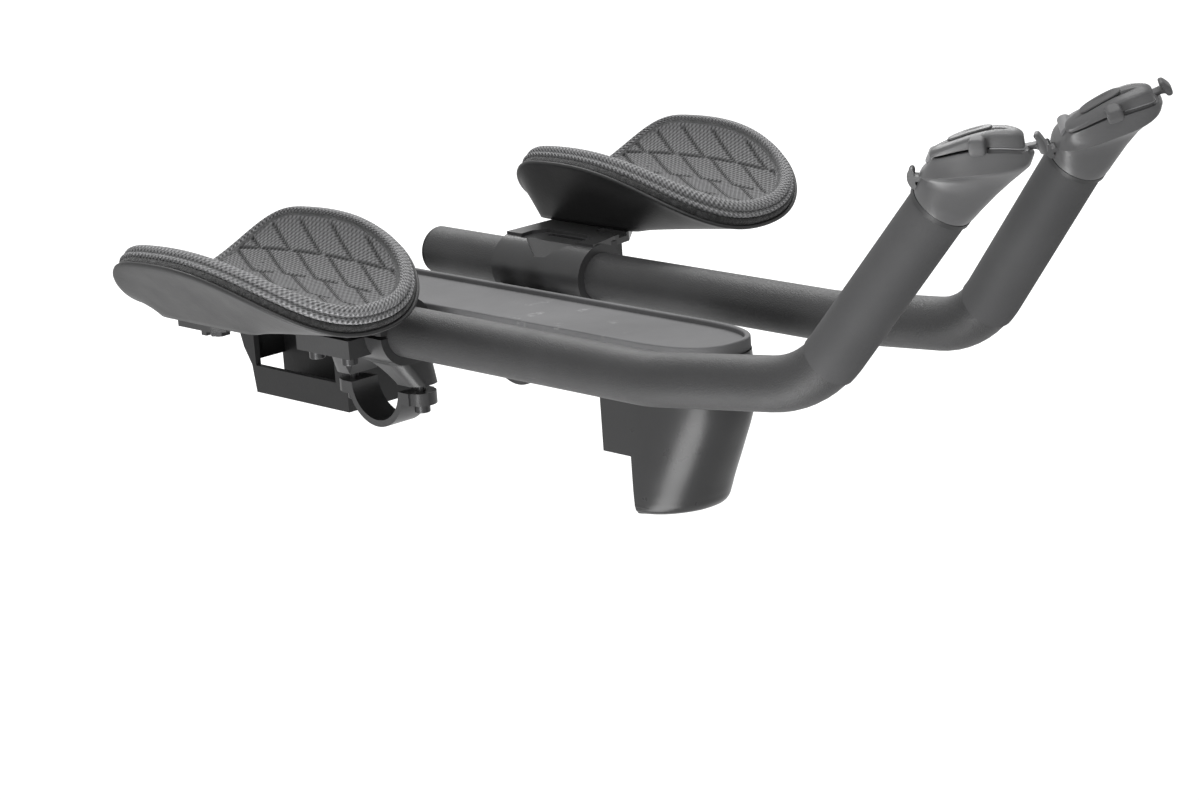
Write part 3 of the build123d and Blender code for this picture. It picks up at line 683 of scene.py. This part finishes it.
# each extension's end, with the axes of the controller that is plugged into it
TIP_AT = {"right": (41.635, 329.347, 113.398), "left": (-44.954, 322.547, 113.976)}
TIP_AXES = {
    "right": ((0.831, 0.478, -0.284), (-0.548, 0.614, -0.568), (-0.097, 0.627, 0.773)),
    "left": ((0.493, 0.656, -0.572), (-0.868, 0.420, -0.266), (0.066, 0.627, 0.776)),
}
# the body's sections fan round a line behind the collar, from the tube to the deck
FAN_Y = -35.5
FAN_Z = 2.0
DECK_ANGLE = 39.4
FAN_STEPS = (0.0, 10.0, 20.0, 27.0, 32.0, 37.0, 39.4)
FAN_REAR = (23.3, 22.8, 22.9, 23.6, 25.0, 26.6, 27.5)
FAN_FRONT = (47.7, 49.6, 53.4, 58.6, 63.0, 64.8, 63.3)
# height of the deck's crown along a fan ray
DOME_AT = (24.0, 27.5, 33.0, 40.0, 46.0, 52.0, 57.0, 61.0, 64.0, 70.0)
DOME_UP = (-2.6, -1.2, 0.5, 2.0, 2.6, 2.6, 1.9, 0.8, -0.6, -3.4)
# step from the collar (0) over the crease (1) to the slot (2), then the -X and the +X side
POD_ROWS = (
    (0.0, -12.4, 12.4), (0.08, -12.4, 12.4), (0.25, -12.2, 11.5), (0.5, -11.6, 9.8),
    (0.7, -10.8, 9.0), (0.84, -10.0, 9.8), (0.93, -9.4, 11.5), (0.98, -9.0, 12.6),
    (1.02, -8.7, 12.8), (1.08, -8.2, 12.6), (1.2, -7.2, 12.0), (1.4, -5.4, 11.3),
    (1.6, -3.4, 10.7), (1.8, -1.4, 10.2), (1.92, -0.2, 9.95), (1.97, 0.3, 9.75), (2.0, 0.7, 9.5),
)
CREASE_REAR, CREASE_GAIN, CREASE_POWER = 18, 17.0, 0.38
CROWN_FROM = 0.6
DECK_REACH = (27.5, 62.9)
DECK_SIDES = (0.8, 9.3)
DECK_POWER = 2.7
DECK_STEPS = ((1.1, -0.1), (1.5, -2.6), (1.6, -2.7))
SLOT_FROM, SLOT_TO, SLOT_DROP, SLOT_EASE = 49.0, 62.2, 2.3, 0.8
SLOT_STEP = 1.9
CONTROLLER_RING = 160


def deck_point(reach, height, angle, side_x):
    """A point of the controller's own frame: reach along a fan ray, height above it, sideways x."""
    t = np.radians(angle)
    y = FAN_Y + reach * np.cos(t) - height * np.sin(t)
    z = FAN_Z + reach * np.sin(t) + height * np.cos(t)
    return np.stack(np.broadcast_arrays(side_x, y, z), -1)


def between(low, high, across):
    return (low + high) / 2 + (high - low) / 2 * across


def from_tip(points, side):
    axes = [np.array(a) / np.linalg.norm(a) for a in TIP_AXES[side]]
    points = np.asarray(points, float)
    moved = sum(points[..., i : i + 1] * axes[i] for i in range(3))
    return moved + np.array(TIP_AT[side])


def dome(reach):
    return smooth_values(DOME_AT, DOME_UP, np.asarray(reach, float))


def oval(count, power):
    """Along 0..1 from rear to front and sideways -1..1, round a superellipse."""
    p, q = superellipse(np.linspace(0, 2 * math.pi, count, endpoint=False), power)
    return 0.5 - 0.5 * p, q


def inset_reach(ends, inset, along):
    return ends[0] + inset + (ends[1] - ends[0] - 2 * inset) * along


def inset_sides(sides, inset, across):
    return between(sides[0] + inset, sides[1] - inset, across)


def closed_solid(name, rings, slot, side, body="kit", material=None, edge=35):
    """Rings in the controller's frame, closed at both ends, set on that side's extension."""
    count = len(rings[0])
    points = from_tip(np.concatenate(rings), side)
    faces = ring_faces(len(rings), count)
    faces.append(tuple(range(count))[::-1])
    faces.append(tuple((len(rings) - 1) * count + c for c in range(count)))
    obj = make_object(name + "_" + side, points, faces, material or slot, body)
    sharpen(obj, edge)
    return obj


def build_pod(side):
    """The body: sections from the collar over the crease to the deck and its slot."""
    rings = []
    for k, far, near in POD_ROWS:
        power = 2.0 + 0.7 * min(k, 1.0)
        along, across = oval(CONTROLLER_RING, power)
        crease = CREASE_REAR + CREASE_GAIN * along**CREASE_POWER
        angle = k * crease if k <= 1 else crease + (k - 1) * (DECK_ANGLE - crease)
        rear = np.interp(angle, FAN_STEPS, FAN_REAR)
        front = np.interp(angle, FAN_STEPS, FAN_FRONT)
        reach = rear + (front - rear) * along
        up = dome(reach) * max(0.0, k - CROWN_FROM) / (2 - CROWN_FROM)
        if k > SLOT_STEP:
            cut = np.clip((reach - SLOT_FROM) / SLOT_EASE, 0, 1)
            cut = cut * np.clip((SLOT_TO - reach) / SLOT_EASE, 0, 1) * (across > 0.1)
            up = up - SLOT_DROP * cut * (k - SLOT_STEP) / (2 - SLOT_STEP)
        rings.append(deck_point(reach, up, angle, between(far, near, across)))
    along, across = oval(CONTROLLER_RING, DECK_POWER)
    for inset, height in DECK_STEPS:
        reach = inset_reach(DECK_REACH, inset, along)
        sides = inset_sides(DECK_SIDES, inset, across)
        rings.append(deck_point(reach, dome(reach) + height, DECK_ANGLE, sides))
    obj = closed_solid("pod", rings, "controller_plastic", side, edge=40)
    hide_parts("controller_body_" + side)


SEAT_REACH = (29.6, 60.8)
SEAT_SIDES = (2.2, 6.7)
SEAT_HEIGHTS = (-2.8, 1.4)


def build_seat(side):
    """The dark step that carries the cap above the slot."""
    along, across = oval(CONTROLLER_RING, DECK_POWER)
    reach = inset_reach(SEAT_REACH, 0, along)
    sides = inset_sides(SEAT_SIDES, 0, across)
    rings = [deck_point(reach, dome(reach) + up, DECK_ANGLE, sides) for up in SEAT_HEIGHTS]
    closed_solid("cap_seat", rings, "controller_plastic", side, material="black_plastic")


# rows of the cap and of its plate: inset from the outline, height above the deck
CAP_REACH = (27.0, 62.3)
CAP_SIDES = (0.6, 9.4)
CAP_POWER = 3.0
CAP_ROWS = (
    (1.6, 0.9), (0.4, 0.9), (0.0, 1.2), (0.0, 2.3), (0.2, 2.8), (0.7, 3.2), (1.4, 3.4),
    (2.4, 3.5), (3.6, 3.55),
)
CAP_TOP_FROM = 2
CAP_RISE, CAP_RISE_FROM, CAP_RISE_LEN = 3.2, 28.0, 30.0
PLATE_REACH = (34.0, 51.0)
PLATE_SIDES = (1.2, 5.2)
PLATE_POWER = 3.2
PLATE_ROWS = ((0.0, 3.0), (0.0, 3.9), (0.3, 4.2), (1.2, 4.2))
PLATE_RING = 80


def cap_rise(reach):
    """The cap gets thicker towards the front."""
    k = np.clip((reach - CAP_RISE_FROM) / CAP_RISE_LEN, 0, 1)
    return CAP_RISE * k * k * (3 - 2 * k)


def build_cap(side):
    rings = []
    along, across = oval(CONTROLLER_RING, CAP_POWER)
    for inset, height in CAP_ROWS:
        reach = inset_reach(CAP_REACH, inset, along)
        up = dome(reach) + height + cap_rise(reach) * (height > CAP_TOP_FROM)
        rings.append(deck_point(reach, up, DECK_ANGLE, inset_sides(CAP_SIDES, inset, across)))
    obj = closed_solid("cap_shell", rings, "controller_plastic", side)
    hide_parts("controller_cap_" + side)


def build_plate(side):
    rings = []
    along, across = oval(PLATE_RING, PLATE_POWER)
    for inset, height in PLATE_ROWS:
        reach = inset_reach(PLATE_REACH, inset, along)
        up = dome(reach) + height + cap_rise(reach)
        rings.append(deck_point(reach, up, DECK_ANGLE, inset_sides(PLATE_SIDES, inset, across)))
    obj = closed_solid("top_plate", rings, "controller_plastic", side)
    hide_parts("cap_plate_" + side)


# section of the slot's pale strip: distance outward from the cap's edge, height above the deck
STRIP_SECTION = (
    (-0.5, 0.1), (-0.25, 0.2), (-0.25, 0.75), (-0.5, 0.85), (-2.2, 0.85), (-2.2, 0.1),
)
STRIP_REACH = (50.2, 62.3)
STRIP_POINTS = 60


def build_strip(side):
    """The pale edge that shows in the slot between the button and the front lever."""
    count, corners = STRIP_POINTS, len(STRIP_SECTION)
    reach = np.linspace(*STRIP_REACH, count)
    along = (reach - DECK_REACH[0]) / (DECK_REACH[1] - DECK_REACH[0])
    edge = (1 - np.abs(2 * along - 1) ** DECK_POWER) ** (1 / DECK_POWER)
    side_x = between(*CAP_SIDES, edge)
    rings = [
        deck_point(reach, dome(reach) + low, DECK_ANGLE, side_x + out) for out, low in STRIP_SECTION
    ]
    points = from_tip(np.concatenate(rings), side)
    faces = ring_faces(corners, count, 0, closed=False)
    back = (corners - 1) * count
    faces += [(back + c, back + c + 1, c + 1, c) for c in range(count - 1)]
    faces.append(tuple(r * count for r in range(corners)))
    faces.append(tuple(r * count + count - 1 for r in range(corners))[::-1])
    slot = "roller_plastic"
    make_object("slot_strip_" + side, points, faces, slot, "kit", smooth=False)


BUTTON_AT = (46.3, 5.0)
BUTTON_HALF = (3.15, 3.3)
BUTTON_POWER = 4.5
BUTTON_RING = 96
BUTTON_ROOF = 0.5
BUTTON_NECK_END = 11
# sideways place of each ring of the button and how much the ring grows
BUTTON_ROWS = (
    (8.0, 0.0), (11.3, 0.0), (11.9, -0.12), (12.25, -0.45), (12.35, -0.9), (12.4, -1.8),
    (12.42, -2.8),
)


def build_button(side):
    """A square button with rounded corners and a shallow roof of two facets."""
    along, across = oval(BUTTON_RING, BUTTON_POWER)
    p, q = 2 * along - 1, across
    half_p, half_q = BUTTON_HALF
    rings = []
    for x, grow in BUTTON_ROWS:
        reach = BUTTON_AT[0] + (half_p + grow) * p
        height = BUTTON_AT[1] + (half_q + grow) * q
        roof = BUTTON_ROOF * (1 - np.abs(q) * (half_q + grow) / half_q)
        rings.append(deck_point(reach, height, DECK_ANGLE, x + roof * (x > BUTTON_NECK_END)))
    body = "side_button_" + side
    obj = closed_solid("button", rings, "button_plastic", side, body, edge=50)
    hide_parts(body)


# side outlines of the T levers: reach along the deck, height above it
FRONT_T = (
    (57.5, -2.2), (61.5, -2.0), (64.6, -1.5), (66.3, -1.9), (66.9, -3.3), (68.0, -3.9),
    (69.1, -3.3), (69.3, -1.5), (68.9, 0.6), (67.9, 2.8), (66.9, 4.3), (65.7, 4.4),
    (65.2, 3.6), (65.9, 2.0), (66.0, 0.9), (65.0, 0.4), (61.5, -0.1), (57.5, -0.4),
)
REAR_T = (
    (27.5, -12.4), (23.0, -11.4), (19.9, -10.9), (19.2, -11.9), (19.6, -13.6), (18.7, -14.0),
    (17.7, -12.8), (17.1, -10.6), (17.3, -8.3), (18.1, -6.6), (19.0, -6.4), (19.3, -7.4),
    (19.1, -9.0), (19.8, -9.4), (23.0, -9.8), (27.5, -10.9),
)
T_HALF = 1.7
FRONT_T_SHIFT = 1.2
REAR_T_SHIFT = 2.4
# share of the half width and how far the outline draws in there
T_ROWS = ((-1, 0.35), (-0.88, 0.08), (-0.6, 0.0), (0.6, 0.0), (0.88, 0.08), (1, 0.35))


def closed_curve(points):
    """A smooth closed curve through the points, with three new ones between each two."""
    dense = []
    for i in range(len(points)):
        a, b, c, d = (points[(i + k) % len(points)] for k in (-1, 0, 1, 2))
        for f in (0.0, 0.25, 0.5, 0.75):
            square = 2 * a - 5 * b + 4 * c - d
            cube = 3 * b - a - 3 * c + d
            dense.append(0.5 * (2 * b + (c - a) * f + square * f**2 + cube * f**3))
    return np.array(dense)


def build_t(name, outline, body, side, shift):
    """A curved T lever: its side outline given a width, with rounded edges."""
    dense = closed_curve(np.array(outline))
    normal = np.roll(dense, -1, 0) - np.roll(dense, 1, 0)
    normal = np.stack([-normal[:, 1], normal[:, 0]], -1)
    normal /= np.linalg.norm(normal, axis=1, keepdims=True)
    rings = []
    for share, pull in T_ROWS:
        ring = dense + normal * pull
        rings.append(deck_point(ring[:, 0], ring[:, 1], DECK_ANGLE, share * T_HALF + shift))
    obj = closed_solid(name, rings, "button_plastic", side, body + "_" + side, edge=50)
    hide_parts(body + "_" + side)


for side in SIDES:
    build_pod(side)
    build_seat(side)
    build_cap(side)
    build_plate(side)
    build_strip(side)
    build_button(side)
    build_t("front_t", FRONT_T, "front_lever", side, FRONT_T_SHIFT)
    build_t("rear_t", REAR_T, "rear_lever", side, REAR_T_SHIFT)

# Camera, light and floor

FLOOR_BELOW = 0.30
FLOOR_Z = cad_box[0][2] - FLOOR_BELOW
FLOOR_REACH = 6.0
FLOOR_GREY = 0.5
# how far from the object the floor's own glow begins and ends to rise, and its levels there
GLOW_FROM, GLOW_TO = 0.6, 1.8
GLOW_NEAR, GLOW_FAR = 0.45, 1.0
STRIP_ABOVE_FLOOR = 0.006
WORLD_GREY = 0.36
CAMERA_AT = (1.00013, 1.1869, 0.38902)
CAMERA_AZIMUTH = math.radians(222.41)
CAMERA_DOWN = math.radians(14.87)
CAMERA_ROLL = math.radians(-4.05)
FOCAL_PX = 3565.96
PHOTO_WIDTH = 1200
SENSOR_MM = 36


def build_camera():
    az, el = CAMERA_AZIMUTH, CAMERA_DOWN
    ahead = Vector((math.cos(el) * math.sin(az), math.cos(el) * math.cos(az), -math.sin(el)))
    right = ahead.cross(Vector((0, 0, 1))).normalized()
    up = right.cross(ahead)
    cr, sr = math.cos(CAMERA_ROLL), math.sin(CAMERA_ROLL)
    right, up = cr * right + sr * up, cr * up - sr * right
    data = bpy.data.cameras.new("camera")
    data.sensor_width = SENSOR_MM
    data.lens = FOCAL_PX * data.sensor_width / PHOTO_WIDTH
    data.clip_end = 20
    camera = bpy.data.objects.new("camera", data)
    rows = Matrix((right, up, -ahead)).transposed().to_4x4()
    camera.matrix_world = Matrix.Translation(CAMERA_AT) @ rows
    bpy.context.scene.collection.objects.link(camera)
    bpy.context.scene.camera = camera


def area_light(name, at, target, size, power, turn=None):
    """A lamp aimed at its target, or lying flat, turned by degrees and unseen by the camera."""
    data = bpy.data.lights.new(name, "AREA")
    data.shape = "RECTANGLE"
    data.size, data.size_y = size
    data.energy = power
    lamp = bpy.data.objects.new(name, data)
    lamp.location = at
    lamp.rotation_euler = (Vector(target) - Vector(at)).to_track_quat("-Z", "Y").to_euler()
    if turn is not None:
        lamp.rotation_euler = (math.pi, 0, math.radians(-turn))
        lamp.visible_camera = False
    bpy.context.scene.collection.objects.link(lamp)


def ray_is(tree, *kinds):
    """1 for rays of any of these kinds."""
    paths = tree.nodes.new("ShaderNodeLightPath")
    seen = paths.outputs[kinds[0]]
    for kind in kinds[1:]:
        either = tree.nodes.new("ShaderNodeMath")
        either.operation = "MAXIMUM"
        tree.links.new(seen, either.inputs[0])
        tree.links.new(paths.outputs[kind], either.inputs[1])
        seen = either.outputs[0]
    return seen


def build_world():
    """White for the camera and in reflections, grey as a light."""
    world = bpy.data.worlds.new("studio")
    bpy.context.scene.world = world
    world.use_nodes = True
    tree = world.node_tree
    tree.nodes.clear()
    out = tree.nodes.new("ShaderNodeOutputWorld")
    background = tree.nodes.new("ShaderNodeBackground")
    mix = tree.nodes.new("ShaderNodeMix")
    mix.data_type = "RGBA"
    mix.inputs[6].default_value = (WORLD_GREY, WORLD_GREY, WORLD_GREY, 1)
    mix.inputs[7].default_value = (1, 1, 1, 1)
    shown = ray_is(tree, "Is Camera Ray", "Is Transmission Ray", "Is Glossy Ray")
    tree.links.new(shown, mix.inputs[0])
    tree.links.new(mix.outputs[2], background.inputs["Color"])
    tree.links.new(background.outputs[0], out.inputs[0])
    background.inputs["Strength"].default_value = 1.0


def floor_glow(tree):
    """Emission that rises with distance, so that the lamps' shadow shows near the object."""
    coords = tree.nodes.new("ShaderNodeTexCoord")
    away = tree.nodes.new("ShaderNodeVectorMath")
    away.operation = "LENGTH"
    tree.links.new(coords.outputs["Object"], away.inputs[0])
    level = tree.nodes.new("ShaderNodeMapRange")
    level.inputs["From Min"].default_value = GLOW_FROM
    level.inputs["From Max"].default_value = GLOW_TO
    level.inputs["To Min"].default_value = GLOW_NEAR
    level.inputs["To Max"].default_value = GLOW_FAR
    tree.links.new(away.outputs["Value"], level.inputs["Value"])
    glow = tree.nodes.new("ShaderNodeEmission")
    tree.links.new(level.outputs[0], glow.inputs["Strength"])
    return glow.outputs[0]


def build_floor():
    """A white floor that keeps the object's shadow and shows white in reflections."""
    mesh = bpy.data.meshes.new("floor")
    corners = ((-1, -1), (1, -1), (1, 1), (-1, 1))
    points = [(x * FLOOR_REACH, y * FLOOR_REACH, FLOOR_Z) for x, y in corners]
    mesh.from_pydata(points, [], [(0, 1, 2, 3)])
    floor = bpy.data.objects.new("floor", mesh)
    bpy.context.scene.collection.objects.link(floor)
    mat = bpy.data.materials.new("floor")
    mat.use_nodes = True
    tree = mat.node_tree
    tree.nodes.clear()
    out = tree.nodes.new("ShaderNodeOutputMaterial")
    diffuse = tree.nodes.new("ShaderNodeBsdfDiffuse")
    diffuse.inputs[0].default_value = (FLOOR_GREY, FLOOR_GREY, FLOOR_GREY, 1)
    lit = tree.nodes.new("ShaderNodeAddShader")
    tree.links.new(diffuse.outputs[0], lit.inputs[0])
    tree.links.new(floor_glow(tree), lit.inputs[1])
    white = tree.nodes.new("ShaderNodeEmission")
    camera = ray_is(tree, "Is Camera Ray")
    reflection = ray_is(tree, "Is Glossy Ray", "Is Transmission Ray")
    shown = diffuse.outputs[0]
    for seen, shader in ((camera, lit), (reflection, white)):
        mix = tree.nodes.new("ShaderNodeMixShader")
        tree.links.new(seen, mix.inputs[0])
        tree.links.new(shown, mix.inputs[1])
        tree.links.new(shader.outputs[0], mix.inputs[2])
        shown = mix.outputs[0]
    tree.links.new(shown, out.inputs["Surface"])
    mesh.materials.append(mat)


build_camera()
build_world()
build_floor()
area_light("top", (0.2, 0.3, 1.9), (0, 0.1, 0.03), (1.4, 1.2), 23)
area_light("back", (-1.1, -1.0, 1.5), (0, 0.15, 0.03), (1.6, 0.6), 26)
area_light("side", (2.0, 0.55, 0.25), (0, 0.15, 0.0), (0.35, 1.3), 5)
area_light("key", (1.3, 1.5, 1.5), (0, 0.15, 0.03), (0.9, 0.7), 9)
strip_z = FLOOR_Z + STRIP_ABOVE_FLOOR
area_light("floor_strip", (0.74, 0.27, strip_z), (0.739, 0.27, 1.0), (0.34, 1.1), 10, 71)

scene = bpy.context.scene
scene.view_settings.view_transform = "Standard"
